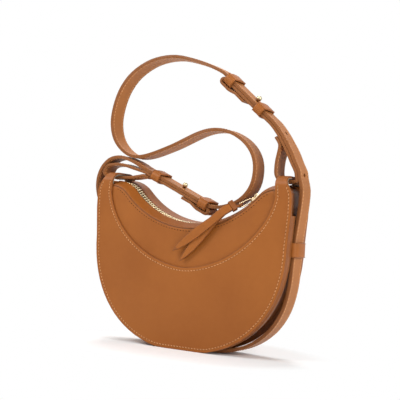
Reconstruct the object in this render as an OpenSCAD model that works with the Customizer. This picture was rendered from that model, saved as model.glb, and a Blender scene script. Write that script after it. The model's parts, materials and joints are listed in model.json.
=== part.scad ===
// Saddle handbag: half-moon crossbody bag with a concave zip, two folded ears
// and one long strap that runs right round the bag and is shortened by studs.
// X runs to the wearer's right, Y to the back, Z up. Z = 0 is the resting face.

/* [Body] */
// Widest width of the body
body_w = 214; // [190:1:240]
// How much narrower the body is at the top of the round bottom
body_taper = 4; // [0:1:8]
// Height of the round bottom half
low_h = 105; // [95:1:115]
// Depth of the body from front to back
depth = 38; // [34:1:46]
// How much the round bottom is flattened to stand on
base_flat = 2; // [1:0.5:3]
// Height of the ears
ear_top = 169; // [162:1:176]
// Width of one ear
ear_w = 15; // [12:1:20]
// Outside radius of the fold over the top of an ear
fold_r = 11; // [8:1:14]
// Height to which the ear comes down behind the back panel
ear_back_z = 122; // [110:1:130]
// Height of the sewn hem where the strap channel ends
hem_z = 130; // [120:1:136]

/* [Leather] */
// Thickness of the crescent panel and the back panel
panel_t = 1.8; // [1.2:0.1:2.4]
// Thickness of the front upper panel and the gusset
skin_t = 1.6; // [1:0.1:2]
// Thickness of the ear lining
ear_lining_t = 1; // [0.6:0.1:1.4]
// Thickness of the stiffening boards
board_t = 0.8; // [0.5:0.1:1.2]
// Thickness of the cloth lining
lining_t = 0.6; // [0.4:0.1:1]
// Half width of the curved inner edge of the crescent panel
seam_a = 91; // [84:1:96]
// Depth of that edge below its own centre
seam_b = 75; // [65:1:80]
// Height of the centre of that edge
seam_z = 152; // [146:1:156]
// Overlap of the front upper panel behind the crescent
seam_lap = 8; // [5:1:10]

/* [Gusset] */
// Depth of the strap channel in the gusset
channel_d = 5.4; // [5:0.2:7]
// Width of the channel beyond the strap and its keeper, each side
channel_gap = 0.2; // [0.1:0.1:1]

/* [Zip] */
// Radius of the concave zip line
zip_r = 96; // [90:1:110]
// Height of the lowest point of the zip line
zip_low = 118; // [110:1:124]
// Gap from the top of a shoulder of the zip line to its round end
shoulder_gap = 0.6; // [0:0.1:2]
// Radius of each shoulder of the zip line
shoulder_r = 30.5; // [26:0.5:34]
// Radius of the round end behind each shoulder
end_r = 9.2; // [8:0.2:11]
// Half width of the open middle between the leather strips
zip_open = 5.5; // [5:0.1:7]
// Drop of the front strip from the middle to the front edge
strip_drop = 4.8; // [3:0.1:6]
// Rise of the back strip from the middle to the back edge
strip_rise = 1.6; // [0:0.1:3]
// Thickness of the zip's leather strips
strip_t = 1.2; // [1:0.1:2]
// Thickness of the woven tape
tape_t = 0.8; // [0.6:0.1:1.2]
// Pitch of the metal teeth along the tape
tooth_pitch = 3; // [2.4:0.1:4]
// Length of a tooth along the tape
tooth_l = 1.6; // [1.2:0.1:2]
// Height of a tooth
tooth_h = 2.6; // [2:0.1:3]
// Width of a tooth across the tape
tooth_w = 2.3; // [2:0.1:2.6]
// Gap between the two rows for the slider's wedge
tooth_gap = 1.4; // [1:0.1:2]
// Angle by which the slider is parked short of the right shoulder
park_back = 3; // [3:0.5:10]
// Length of the slider body
slider_l = 9.5; // [8:0.5:11]
// Width of the slider body
slider_w = 9.2; // [8:0.2:10]

/* [Zip pull] */
// Radius of the pull ring to the middle of its wire
ring_r = 3.1; // [2.6:0.1:4]
// Thickness of the ring and link wire
wire_d = 1.2; // [1:0.1:1.4]
// Height at which the ring is held above the slider's plate
ring_lift = 1.1; // [0.3:0.1:1.4]
// Length of the wire link
link_l = 13.6; // [11:0.2:16]
// Inside height of the wire link
link_h = 2.8; // [2.6:0.2:4]
// Width of the leather pull at its keeper
pull_w = 8; // [6:0.5:10]
// Widest width of one leaf tail
leaf_w = 9; // [8:0.5:13]
// Length of the leaf tails past the neck
leaf_l = 62; // [50:1:90]
// Angle between the two tails
leaf_spread = 13; // [6:1:20]
// Thickness of the pull leather
pull_t = 1.4; // [1:0.1:1.8]

/* [Straps] */
// Width of every strap
strap_w = 18; // [16:0.5:20]
// Thickness of the long strap
strap_t = 3; // [2.4:0.1:3.4]
// Thickness of the two loop straps
loop_t = 2.6; // [2:0.1:3]
// Play between two straps that lie on each other
lay_gap = 0.3; // [0.2:0.05:0.6]
// Distance of the strap's middle behind the middle of the bag
strap_y = 2.5; // [0:0.1:3]
// Height of the top of the shoulder loop
loop_top = 283; // [270:1:300]
// Thickness of the keeper leather
keeper_t = 2; // [1.4:0.1:2.4]
// Length of a keeper along the strap
keeper_l = 10; // [8:0.5:14]
// Play of a strap inside its keepers
keeper_gap = 0.5; // [0.3:0.1:1]
// Height of the sewn keepers in the gusset
gusset_keeper_z = 100; // [92:1:106]
// Length of a sewn gusset keeper
gusset_keeper_l = 13; // [10:0.5:16]
// Distance from the end keeper to the stud
stud_pitch = 31.5; // [28:0.5:34]
// Distance from the end keeper to the sewn tip of the loop strap
tip_pitch = 68.5; // [66:0.5:72]
// Distance of the right sliding keeper from its end keeper
slide_right = 43; // [42:0.5:50]
// Distance of the left sliding keeper from its end keeper
slide_left = 60.5; // [50:0.5:61]
// Spacing of the punched holes along the long strap
hole_pitch = 44; // [40:1:46]
// Diameter of the punched holes
hole_d = 3.6; // [3.2:0.1:4]

/* [Studs] */
// Diameter of the stud's ball
ball_d = 5.2; // [4.6:0.1:6]
// Diameter of the stud's neck
neck_d = 2.8; // [2.4:0.1:3]
// Diameter of the screw's flat head
screw_head_d = 7; // [6:0.1:8]
// Thickness of the screw's head
screw_head_t = 1; // [0.8:0.1:1.4]
// Diameter of the screw's shank
screw_d = 1.5; // [1.2:0.1:1.8]

/* [Hidden] */
leather = "#a8693a";
leather_dark = "#8f5528";
suede = "#8a7866";
gold = "#c9a55a";
cloth = "#6f6355";
board = "#b9a98c";
$fn = 48;
// Overrun of every cut
cut = 1;
// Face to face play between sewn layers
seat = 0.1;
// Steps of a smooth curve between two of its points
curve_steps = 3;
// Steps of a round stretch
arc_steps = 12;
// Angle by which the two halves of a sweep run past the middle
half_lap = 1;

// Body
half_w = body_w / 2;
low_a = half_w - body_taper / 2;
low_z = low_h - base_flat;
half_d = depth / 2;
front_y = -half_d;
skin_y = front_y + panel_t;
board_y = skin_y + skin_t;
back_y = half_d - panel_t;
low_power = 2.22;
seam_power = 1.8;
outline_steps = 40;
ear_out = half_w - body_taper / 2;
ear_in = ear_out - ear_w;
fold_z = ear_top - fold_r;

// Zip line: concave middle about zip_cz, convex shoulders, round ends
zip_cz = zip_low + zip_r;
floor_inset = channel_d + skin_t / 2;
end_x = half_w - floor_inset;
end_in = end_x - end_r;
shoulder_x = end_in - shoulder_gap;
zip_turn = asin(shoulder_x / (zip_r + shoulder_r));
park = zip_turn - park_back;
shoulder_cz = zip_cz - (zip_r + shoulder_r) * cos(zip_turn);
shoulder_z = shoulder_cz + shoulder_r;
front_rise = -strip_drop + tape_t / 2;
back_rise = strip_rise + tape_t / 2;

// Strap plane
strap_front = strap_y - strap_w / 2;
strap_back = strap_y + strap_w / 2;
channel_front = strap_front - keeper_gap - keeper_t - channel_gap;
channel_back = strap_back + keeper_gap + keeper_t + channel_gap;
lay = strap_t / 2 + lay_gap + loop_t / 2;
self_lay = loop_t + 2 * lay_gap;
wrap_lay = loop_t + keeper_t + 2 * lay_gap;

// Shapes of lines
function unit(v) = v / norm(v);
function side_of(v) = [-v.y, v.x];
function turned(v, a) = [v.x * cos(a) - v.y * sin(a), v.x * sin(a) + v.y * cos(a)];
function mirrored(points) = [for (i = [len(points) - 1:-1:0]) [-points[i].x, points[i].y]];
function backwards(points) = [for (i = [len(points) - 1:-1:0]) points[i]];
function arc(c, r, a0, a1, steps = arc_steps) =
    [for (i = [0:steps]) c + r * [cos(a0 + (a1 - a0) * i / steps), sin(a0 + (a1 - a0) * i / steps)]];
function power(v, p) = sign(v) * pow(abs(v), p);

// Direction of a line at one of its points
function heading(p, i, closed) = let (n = len(p))
    closed ? unit(p[(i + 1) % n] - p[(i + n - 1) % n])
           : unit(p[min(i + 1, n - 1)] - p[max(i - 1, 0)]);
function blend(a, ta, b, tb, u) =
    (2 * pow(u, 3) - 3 * pow(u, 2) + 1) * a + (pow(u, 3) - 2 * pow(u, 2) + u) * ta
    + (3 * pow(u, 2) - 2 * pow(u, 3)) * b + (pow(u, 3) - pow(u, 2)) * tb;
// Smooth line through hand-set points
function smooth(p, closed = false) = let (n = len(p), last = closed ? n - 1 : n - 2) concat(
    [for (i = [0:last]) let (j = (i + 1) % n, l = norm(p[j] - p[i]),
        ta = l * heading(p, i, closed), tb = l * heading(p, j, closed))
        for (k = [0:curve_steps - 1]) blend(p[i], ta, p[j], tb, k / curve_steps)],
    closed ? [] : [p[n - 1]]);
// The same line moved sideways, to the left of its direction
function beside(p, d, closed = false) =
    [for (i = [0:len(p) - 1]) p[i] + d * side_of(heading(p, i, closed))];

// Half-moon outline drawn in by an inset: round bottom with a flat to stand on
function low_outline(inset) = let (a = low_a - inset, b = low_h - inset)
    [for (i = [0:outline_steps]) let (t = 180 + 180 * i / outline_steps)
        [a * power(cos(t), 2 / low_power), max(low_z + b * power(sin(t), 2 / low_power), inset)]];
// Side of the body above the round bottom
function side_x(z) = low_a + (half_w - low_a) * (z - low_z) / (hem_z - low_z);
function side_point(inset, z) = [min(side_x(z), half_w) - inset, z];
// Outline from the left side at height z down, round and up to the right side
function outline(inset, z) = let (h = z > hem_z ? [hem_z, z] : [z], side = [for (q = h) side_point(inset, q)])
    concat(mirrored(side), low_outline(inset), side);
// Curved edge of the crescent, from the left ear down and up to the right ear
function seam_outline(lap) = let (a = seam_a + lap, b = seam_b + lap)
    [for (i = [0:outline_steps]) let (t = 180 + 180 * i / outline_steps)
        [a * power(cos(t), 2 / seam_power), seam_z + b * power(sin(t), 2 / seam_power)]];

// Zip line at height h above its middle, from the left shoulder to the right
function zip_half(h) = concat(
    arc([0, zip_cz], zip_r - h, -90, zip_turn - 90),
    [for (p = arc([shoulder_x, shoulder_cz], shoulder_r + h, 90 + zip_turn, 90)) if (p.x > 0) p]);
function zip_line(h) = concat(mirrored(zip_half(h)), zip_half(h));
// The same line with its round ends down to the channel floor
function end_arc(h) = arc([end_in, shoulder_z - end_r], end_r + h, 90, 0);
function body_top(h) = concat(mirrored(end_arc(h)), zip_line(h), end_arc(h));
// Place on the zip line at length s from its middle: [x, z, slope]
turn_s = zip_r * zip_turn * PI / 180;
function zip_place(s) = let (a = min(abs(s), turn_s) / zip_r * 180 / PI,
    over = max(abs(s) - turn_s, 0) / shoulder_r * 180 / PI, b = zip_turn - over)
    abs(s) <= turn_s ? [sign(s) * zip_r * sin(a), zip_cz - zip_r * cos(a), sign(s) * a]
    : [sign(s) * (shoulder_x - shoulder_r * sin(b)), shoulder_cz + shoulder_r * cos(b), sign(s) * b];
teeth_half = turn_s + shoulder_r * (zip_turn - 12) * PI / 180;
teeth_n = floor(teeth_half / tooth_pitch);

// Junctions where a loop strap lies under the long strap
// [place of the end keeper, slope, side of the folded end]
loop_rise = loop_top - zip_low;
join_right = [[0.1463 * body_w, zip_low + 0.83569 * loop_rise], 41, -1];
join_left = [[0.0444 * body_w, zip_low + 0.12606 * loop_rise], 24.5, 1];
function join_at(j, along, out) = j[0] - j[2] * along * [cos(j[1]), -sin(j[1])]
    + out * [sin(j[1]), cos(j[1])];

// The long strap, from under the bag up the right side and round
bow_shares = [[0, 0], [0.05, 0], [0.1, 0.001], [0.19, 0.012], [0.262, 0.048], [0.325, 0.106], [0.382, 0.193],
    [0.425, 0.294], [0.456, 0.41], [0.475, 0.54], [0.485, 0.665], [0.4885, 0.785]];
strap_low = strap_t / 2;
bow_points = [for (p = bow_shares) [p.x * body_w, strap_low + p.y * low_h]];
channel_x = strap_t / 2 + keeper_gap + keeper_t / 2;
right_x = ear_out + lay_gap + loop_t + lay_gap + strap_t / 2;
right_side = [
    [half_w - 0.6 * channel_x, gusset_keeper_z - gusset_keeper_l / 2],
    [half_w - 0.5 * channel_x, gusset_keeper_z + gusset_keeper_l / 2],
    [half_w, hem_z - keeper_l], [half_w + strap_t / 2, hem_z + strap_t],
    [right_x, fold_z - fold_r], [right_x + lay_gap, fold_z + lay_gap],
    [right_x, ear_top - strap_t], [right_x - 0.1 * strap_t, ear_top + 0.3 * strap_t],
    [right_x - 0.7 * strap_t, ear_top + 1.6 * strap_t], [right_x - 1.7 * strap_t, ear_top + 3.3 * strap_t],
    [right_x - 3 * strap_t, ear_top + 5.5 * strap_t], [right_x - 4.6 * strap_t, ear_top + 7.7 * strap_t],
    [right_x - 6.2 * strap_t, ear_top + 9.9 * strap_t], [right_x - 7.8 * strap_t, ear_top + 12.1 * strap_t],
    [right_x - 9.2 * strap_t, ear_top + 13.9 * strap_t]];
straight_right = stud_pitch + 3 * keeper_l;
run_stations = [straight_right, straight_right - 2 * loop_t, slide_right, stud_pitch, 0];
join_stations = concat(run_stations, [-keeper_l / 1.5, -keeper_l]);
right_join = [for (s = join_stations) join_at(join_right, s, 0)];
loop_shares = [
    [0.0771, 0.90703], [0.014, 0.94318], [-0.0598, 0.97435], [-0.1449, 0.99811], [-0.229, 0.9969],
    [-0.3084, 0.97125], [-0.3902, 0.90892], [-0.443, 0.83179], [-0.4734, 0.74312],
    [-0.4888, 0.64223], [-0.4841, 0.56578], [-0.4645, 0.50036], [-0.4327, 0.45129],
    [-0.3949, 0.41582], [-0.3598, 0.39878], [-0.3224, 0.39516], [-0.2804, 0.40239],
    [-0.2336, 0.41841], [-0.1869, 0.43907], [-0.1308, 0.4673], [-0.0748, 0.49915],
    [-0.0234, 0.52722], [0.0234, 0.54685], [0.0654, 0.55528], [0.1075, 0.55408],
    [0.1495, 0.54306], [0.1916, 0.51981], [0.2318, 0.48314], [0.2664, 0.42994], [0.285, 0.37192],
    [0.2883, 0.3077], [0.2776, 0.2409], [0.2505, 0.18408], [0.2093, 0.14121], [0.1636, 0.11797],
    [0.1192, 0.10695]];
loop_points = [for (p = loop_shares) [p.x * body_w, zip_low + p.y * (loop_rise - strap_t / 2)]];
left_stations = [-0.62 * keeper_l, 0, stud_pitch, slide_left, tip_pitch];
left_join = [for (s = left_stations) join_at(join_left, s, 0)];
hump_z = ear_top + loop_t + 3.6 * strap_t;
left_side = [
    [-ear_in + 9.2 * strap_t, hump_z - 3.7 * strap_t], [-ear_in + 5.9 * strap_t, hump_z - 2 * strap_t],
    [-ear_in + 2.8 * strap_t, hump_z - 0.8 * strap_t], [-ear_in - 0.4 * strap_t, hump_z - 0.1 * strap_t],
    [-ear_out + 1.4 * strap_t, hump_z - 0.5 * strap_t], [-ear_out - 0.9 * strap_t, hump_z - 1.7 * strap_t],
    [-ear_out - 2.8 * strap_t, hump_z - 3.7 * strap_t], [-ear_out - 4 * strap_t, fold_z + 1.9 * strap_t],
    [-ear_out - 4.4 * strap_t, fold_z - 0.6 * strap_t], [-ear_out - 4.2 * strap_t, fold_z - 3.2 * strap_t],
    [-ear_out - 3.4 * strap_t, hem_z + 3.5 * strap_t], [-half_w - 1.1 * strap_t, hem_z + 0.7 * strap_t],
    [-half_w + 0.6 * strap_t, hem_z - 2 * strap_t]];
left_low = [for (i = [0:2:outline_steps / 2 - 4]) low_outline(channel_d - 0.6 * strap_t)[i]];
long_points = concat(bow_points, right_side, right_join, loop_points, left_join, left_side,
    [for (p = left_low) if (p.y > strap_low + strap_t / 2) p],
    [[-0.126 * body_w, strap_low + 0.6 * strap_t], [-0.084 * body_w, strap_low + 0.085 * strap_t],
     [-0.042 * body_w, strap_low]]);
long_line = smooth(long_points, true);

// Fold of a loop strap round the lower wall of its end keeper
fold_x = keeper_l / 2 + lay_gap;
fold_mid = -lay - wrap_lay / 2;
tip_run = keeper_l / 2 + 3 * loop_t;
function fold_points(j) = concat(
    [for (a = [-90:30:90])
        join_at(j, -fold_x - wrap_lay / 2 * cos(a), fold_mid - wrap_lay / 2 * sin(a))],
    [join_at(j, 0, fold_mid - wrap_lay / 2), join_at(j, keeper_l / 2, fold_mid - wrap_lay / 2),
     join_at(j, tip_run, -lay - self_lay), join_at(j, tip_run + loop_t, -lay - self_lay),
     join_at(j, stud_pitch - 0.6 * screw_head_d - loop_t, -lay - self_lay)]);

// Loop straps: sewn tip, under the fold of the ear, up the outside and back
sewn_run = 2.4 * loop_t;
tunnel_z = ear_top - panel_t - ear_lining_t - 1.9 * loop_t;
corner_r = loop_t / 2 + 2 * lay_gap;
corner_z = tunnel_z + corner_r;
function ear_turn(side) = [for (a = [-90:30:0])
    [side * (ear_out + corner_r * cos(a)), corner_z + corner_r * sin(a)]];
left_loop = smooth(concat(
    [for (s = [tip_pitch, tip_pitch + sewn_run / 2, tip_pitch + sewn_run])
        join_at(join_left, s, -lay - self_lay)],
    [[-0.313 * body_w, tunnel_z + 0.75 * loop_t], [-0.36 * body_w, tunnel_z + 0.2 * loop_t],
     [-ear_in, tunnel_z], [-ear_in - 0.7 * ear_w, tunnel_z],
     [-ear_out - 0.3 * loop_t, tunnel_z + 0.15 * loop_t],
     [-ear_out - 1.45 * loop_t, tunnel_z + 0.85 * loop_t],
     [-ear_out - 2.15 * loop_t, ear_top - 1.3 * loop_t], [-ear_out - 1.9 * loop_t, ear_top - 0.1 * loop_t],
     [-ear_out - 1.05 * loop_t, ear_top + 1.1 * loop_t], [-ear_out + 0.5 * loop_t, ear_top + 1.9 * loop_t],
     [-ear_in - 1.6 * loop_t, ear_top + 2.2 * loop_t], [-ear_in + 1.5 * loop_t, ear_top + 1.9 * loop_t],
     [-0.357 * body_w, ear_top + 0.9 * loop_t]],
    [for (s = [tip_pitch + sewn_run, tip_pitch, slide_left, stud_pitch, 0]) join_at(join_left, s, -lay)],
    fold_points(join_left)));
right_inner = beside(long_points, lay, true);
right_sewn = beside(long_points, lay + self_lay, true);
right_last = len(bow_points) + len(right_side) - 1;
right_loop = smooth(concat(
    [right_sewn[right_last - 1], right_sewn[right_last - 2]],
    [[ear_in - 1.3 * loop_t, ear_top + 7.7 * loop_t], [ear_in - 1.5 * loop_t, ear_top + 4.6 * loop_t],
     [ear_in - 1.65 * loop_t, ear_top + 1.6 * loop_t], [ear_in - 1.5 * loop_t, ear_top - 0.7 * loop_t],
     [ear_in - 0.8 * loop_t, tunnel_z + 0.8 * loop_t], [ear_in + 0.6 * loop_t, tunnel_z],
     [ear_in + 0.5 * ear_w, tunnel_z]],
    ear_turn(1),
    [for (i = [len(bow_points) + 6:right_last]) right_inner[i]],
    [for (s = run_stations) join_at(join_right, s, -lay)],
    fold_points(join_right)));

// Solids from plane shapes
// Extrudes a shape drawn in X and Z from y0 to y1
module plate(y0, y1) {
    translate([0, y1, 0]) rotate([90, 0, 0]) linear_extrude(y1 - y0) children();
}
// Open strip of leather along a line
module ribbon(line, t, y0, y1) {
    plate(y0, y1) polygon(concat(beside(line, t / 2), backwards(beside(line, -t / 2))));
}
// Band between two insets of the half-moon outline, up to height z
module outline_band(inset, t, z) {
    polygon(concat(outline(inset, z), backwards(outline(inset + t, z))));
}
// Turns what is drawn at the lowest point of the zip line to angle a on it
module on_zip(a) {
    translate([0, 0, zip_cz]) rotate([0, -a, 0]) translate([0, 0, -zip_r]) children();
}
// Sets what is drawn along X at a junction, Z outward from the strap
module at_join(j, along, out) {
    p = join_at(j, along, out);
    translate([p.x, strap_y, p.y]) rotate([0, j[1], 0]) children();
}
// Strip that follows the zip line with the section drawn as [y, height]:
// each half turns about the middle and then about its shoulder, from where they meet
module zip_sweep(section) {
    for (m = [0, 1]) mirror([m, 0, 0])
        translate([0, 0, zip_cz]) rotate([90, 0, 0]) rotate([0, 0, -90 - zip_turn]) {
            rotate_extrude(angle = zip_turn + half_lap, $fn = 180)
                polygon([for (p = section) [zip_r - p.y, -p.x]]);
            translate([zip_r + shoulder_r, 0, 0]) rotate([0, 0, 180])
                rotate_extrude(angle = zip_turn, $fn = 180)
                    polygon([for (p = section) [shoulder_r + p.y, -p.x]]);
        }
}

// Body
// Upper front, recessed behind the crescent, up to the zip
module front_upper_panel() {
    color(leather) plate(skin_y, board_y)
        intersection() {
            polygon(concat(seam_outline(seam_lap), backwards(body_top(front_rise - seat))));
            polygon(concat(outline(floor_inset + skin_t, shoulder_z), [[end_x, ear_top], [-end_x, ear_top]]));
        }
}

// Fold of an ear: over the top and down behind the back panel
function ear_line(t) = let (r = fold_r - t, y0 = front_y + t, y1 = half_d + panel_t + seat - t)
    concat([[y0, fold_z - fold_r]], arc([y0 + r, fold_z], r, 180, 90),
        arc([y1 - r, fold_z], r, 90, 0), [[y1, ear_back_z]]);
module ear_band(t0, t1, side) {
    x0 = side > 0 ? ear_in : -ear_out;
    translate([x0, 0, 0]) rotate([90, 0, 90]) linear_extrude(ear_w)
        polygon(concat(ear_line(t0), backwards(ear_line(t1))));
}
module front_crescent_panel() {
    color(leather) {
        plate(front_y, skin_y) polygon(concat(
            [[-ear_out, fold_z], [-half_w, fold_z - fold_r]], outline(0, hem_z),
            [[half_w, fold_z - fold_r], [ear_out, fold_z], [ear_in, fold_z]],
            backwards(seam_outline(0)), [[-ear_in, fold_z]]));
        for (side = [-1, 1]) ear_band(0, panel_t, side);
    }
}
module ear_lining(side) {
    color(suede) difference() {
        ear_band(panel_t, panel_t + ear_lining_t, side);
        translate([-body_w, back_y - cut, 0])
            cube([2 * body_w, depth, shoulder_z + back_rise + strip_t + lay_gap]);
        translate([-body_w, -depth, 0])
            cube([2 * body_w, depth, shoulder_z + front_rise + 2 * strip_t]);
    }
}
module ear_lining_left() { ear_lining(-1); }
module ear_lining_right() { ear_lining(1); }

module back_panel() {
    color(leather) plate(back_y, half_d) polygon(concat(
        outline(0, shoulder_z - 2 * end_r), [[end_x, shoulder_z - end_r]],
        backwards(body_top(back_rise - strip_rise * panel_t / (half_d - zip_open) - seat)),
        [[-end_x, shoulder_z - end_r]]));
}

// Gusset: channel floor all round, front wall, channel sides and sewn hems
module gusset_floor(inset, t) {
    polygon(concat(outline(inset, shoulder_z - end_r), backwards(outline(inset + t, shoulder_z - end_r))));
}
module gusset() {
    top = shoulder_z - end_r;
    color(leather_dark) {
        difference() {
            plate(skin_y, back_y) union() {
                gusset_floor(channel_d, skin_t);
                for (m = [0, 1]) mirror([m, 0]) polygon(concat(
                    arc([end_in, top], end_r + skin_t / 2, 90, 0),
                    arc([end_in, top], end_r - skin_t / 2, 0, 90)));
            }
            translate([-body_w, skin_y - cut, -cut])
                cube([2 * body_w, channel_front - skin_t - skin_y + cut, hem_z + cut - skin_t]);
            translate([-body_w, channel_back + skin_t, -cut])
                cube([2 * body_w, depth, hem_z + cut - skin_t]);
            translate([-end_x + skin_t / 2, skin_y - cut, -cut])
                cube([2 * end_x - skin_t, board_y - skin_y + cut, ear_top]);
        }
        plate(skin_y, channel_front) outline_band(0, skin_t, hem_z);
        plate(channel_front - skin_t, channel_front) outline_band(0, floor_inset, hem_z);
        plate(channel_back, channel_back + skin_t) outline_band(0, floor_inset, hem_z);
        plate(channel_back + skin_t, back_y) outline_band(0, skin_t, hem_z);
        hem(skin_y, channel_front);
        hem(channel_back, back_y);
    }
}
// Turned hem that closes the top of a channel side
module hem(y0, y1) {
    plate(y0, y1) intersection() {
        outline_band(0, floor_inset, hem_z);
        translate([-body_w, hem_z - skin_t]) square([2 * body_w, 2 * skin_t]);
    }
}

// Stiffening boards and lining inside the skins
module body_board(y0, y1, inset, drop) {
    plate(y0, y1) polygon(concat(outline(inset, shoulder_z - 2 * end_r),
        backwards(zip_line(-drop))));
}
module front_stiffener() {
    color(board) body_board(board_y + seat, board_y + seat + board_t, floor_inset + skin_t,
        strip_drop + 2 * strip_t);
}
module back_stiffener() {
    color(board) body_board(back_y - seat - board_t, back_y - seat, floor_inset + skin_t,
        tape_t + 2 * strip_t);
}
module gusset_stiffener() {
    color(board) plate(channel_front, channel_back)
        outline_band(channel_d + skin_t + seat, board_t, hem_z - 2 * fold_r);
}
module lining_space(y0, y1, inset, top) {
    plate(y0, y1) polygon(concat(outline(inset, shoulder_z - 2 * end_r), backwards(zip_line(top))));
}
module lining() {
    y0 = board_y + 2 * seat + board_t;
    y1 = back_y - 2 * seat - board_t;
    inset = channel_d + skin_t + 2 * seat + board_t;
    top = -strip_drop - 2 * strip_t;
    color(cloth) difference() {
        lining_space(y0, y1, inset, top);
        lining_space(y0 + lining_t, y1 - lining_t, inset + lining_t, top + 2 * strip_t);
    }
}

// Zip
zip_front = skin_y;
zip_back = half_d;
module zip_strip_front() {
    color(leather) zip_sweep([[-zip_open, tape_t / 2], [-zip_open, tape_t / 2 + strip_t],
        [zip_front, front_rise + strip_t], [zip_front, front_rise]]);
}
module zip_strip_back() {
    color(leather) zip_sweep([[zip_open, tape_t / 2], [zip_back, back_rise],
        [zip_back, back_rise + strip_t], [zip_open, tape_t / 2 + strip_t]]);
}
tape_in = tooth_gap / 2 + tooth_w;
tape_share = 0.72;
module zip_tape_front() {
    y = -zip_open + tape_share * (zip_front + zip_open);
    drop = tape_share * strip_drop;
    color(cloth) zip_sweep([[-tape_in, -tape_t / 2], [-tape_in, tape_t / 2], [-zip_open, tape_t / 2],
        [y, tape_t / 2 - drop], [y, -tape_t / 2 - drop], [-zip_open, -tape_t / 2]]);
}
module zip_tape_back() {
    y = zip_open + tape_share * (zip_back - zip_open);
    rise = tape_share * strip_rise;
    color(cloth) zip_sweep([[tape_in, tape_t / 2], [tape_in, -tape_t / 2], [zip_open, -tape_t / 2],
        [y, -tape_t / 2 + rise], [y, tape_t / 2 + rise], [zip_open, tape_t / 2]]);
}
// One row of teeth, each a block with a rounded nose toward the middle
module teeth(side) {
    shift = side > 0 ? tooth_pitch / 2 : 0;
    for (i = [-teeth_n:teeth_n - 1]) let (p = zip_place(i * tooth_pitch + shift))
        translate([p[0], side * (tooth_gap / 2 + tooth_w / 2), p[1]]) rotate([0, -p[2], 0])
            cube([tooth_l, tooth_w, tooth_h], center = true);
}
module zip_teeth_front() { color(gold) teeth(-1); }
module zip_teeth_back() { color(gold) teeth(1); }
// Bar that stops the slider at an end of the teeth
module zip_stop(side) {
    p = zip_place(side * (teeth_n + 0.9) * tooth_pitch);
    color(gold) translate([p[0], 0, p[1]]) rotate([0, -p[2], 0])
        cube([tooth_l, 2 * tape_in, tooth_h], center = true);
}
module zip_stop_left() { zip_stop(-1); }
module zip_stop_right() { zip_stop(1); }

// Slider: two curved plates with turned flanges, a thin wedge and a bail
slider_gap = 0.5;
plate_t = 1.1;
bail_h = 3.4;
module slider_arc(h0, h1, w) {
    a = slider_l / zip_r * 180 / PI;
    translate([0, 0, zip_cz]) rotate([90, 0, 0]) rotate([0, 0, -90 - a / 2])
        translate([0, 0, -w / 2]) rotate_extrude(angle = a, $fn = 180)
            translate([zip_r - h1, 0]) square([h1 - h0, w]);
}
module slider_at_bottom() {
    top = tooth_h / 2 + slider_gap;
    slider_arc(top, top + plate_t, slider_w);
    slider_arc(-top - plate_t, -top, slider_w);
    wedge = slider_l / 3;
    translate([-wedge / 2, -tooth_gap / 4, zip_low - top - plate_t / 2])
        cube([wedge, tooth_gap / 2, 2 * top + plate_t]);
    for (side = [-1, 1]) for (h = [tape_t / 2 + slider_gap / 2, -top - plate_t / 2])
        translate([0, side * (slider_w - plate_t) / 2, 0])
            slider_arc(h, h + top + plate_t / 2 - tape_t / 2 - slider_gap / 2, plate_t);
    // Bail
    translate([0, 0, zip_low + top + plate_t / 2]) plate(-plate_t, plate_t) difference() {
        union() {
            translate([-bail_h, 0]) square([2 * bail_h, bail_h / 2]);
            translate([0, bail_h / 2]) scale([1, 0.75]) circle(bail_h);
        }
        translate([-bail_h / 1.7, plate_t / 2]) square([2 * bail_h / 1.7, bail_h / 2]);
        translate([0, bail_h / 2]) scale([1, 0.75]) circle(bail_h / 1.7);
    }
}
module zip_slider() {
    color(gold) translate([0, 0, zip_cz]) rotate([0, -park, 0]) translate([0, 0, -zip_cz])
        slider_at_bottom();
}
wire_z = tooth_h / 2 + slider_gap + plate_t + wire_d / 2 + ring_lift;
ring_x = -bail_h / 1.7 + wire_d / 2 + 7 * seat - ring_r;
module pull_ring() {
    color(gold) on_zip(park) translate([ring_x, 0, wire_z])
        rotate_extrude() translate([ring_r, 0]) circle(wire_d / 2, $fn = 24);
}
// Wire link: an upright loop, round at the ring and straight where the leather holds it
link_turn = 47;
link_x = ring_x - ring_r;
link_from = [link_x + wire_d + 2 * seat, 0];
link_z = wire_z + wire_d / 2;
link_dir = [-cos(link_turn), -sin(link_turn)];
link_half = (link_h + wire_d) / 2;
corner = 0.75 * wire_d;
module wire(l) { rotate([0, 90, 0]) cylinder(d = wire_d, h = l, $fn = 24); }
module wire_bend(r, a) {
    rotate([90, 0, 0]) rotate_extrude(angle = a) translate([r, 0]) circle(wire_d / 2, $fn = 24);
}
module pull_link() {
    run = link_l - wire_d / 2 - link_half - corner;
    color(gold) on_zip(park) translate([link_from.x, link_from.y, link_z])
        rotate([0, 0, 180 + link_turn]) translate([link_half, 0, 0]) {
            rotate([0, 180, 0]) rotate([90, 0, 0]) rotate([0, 0, -90])
                rotate_extrude(angle = 180) translate([link_half, 0]) circle(wire_d / 2, $fn = 24);
            for (m = [0, 1]) mirror([0, 0, m]) {
                translate([0, 0, link_half]) wire(run);
                translate([run, 0, link_half - corner]) wire_bend(corner, 90);
            }
            translate([run + corner, 0, corner - link_half])
                cylinder(d = wire_d, h = 2 * (link_half - corner), $fn = 24);
        }
}

// Leather pull: a strip folded round the link, kept together and cut to two leaves
pull_rise = 0.36 * leaf_w;
pull_z = link_z + pull_rise;
tail_y = front_y - pull_t / 2 - 4 * seat;
tail_pitch = pull_t + 2 * seat;
bar = link_from + (link_l - wire_d / 2) * link_dir;
fold_d = pull_t + wire_d + 4 * seat;
fold_share = 0.13;
neck_end = [bar.x - (abs(tail_y) - abs(bar.y)) * 1.1, tail_y];
neck_dir = unit(neck_end - bar);
neck_side = side_of(neck_dir);
keeper_share = 0.42;
keeper_at = bar + keeper_share * (neck_end - bar);
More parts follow.
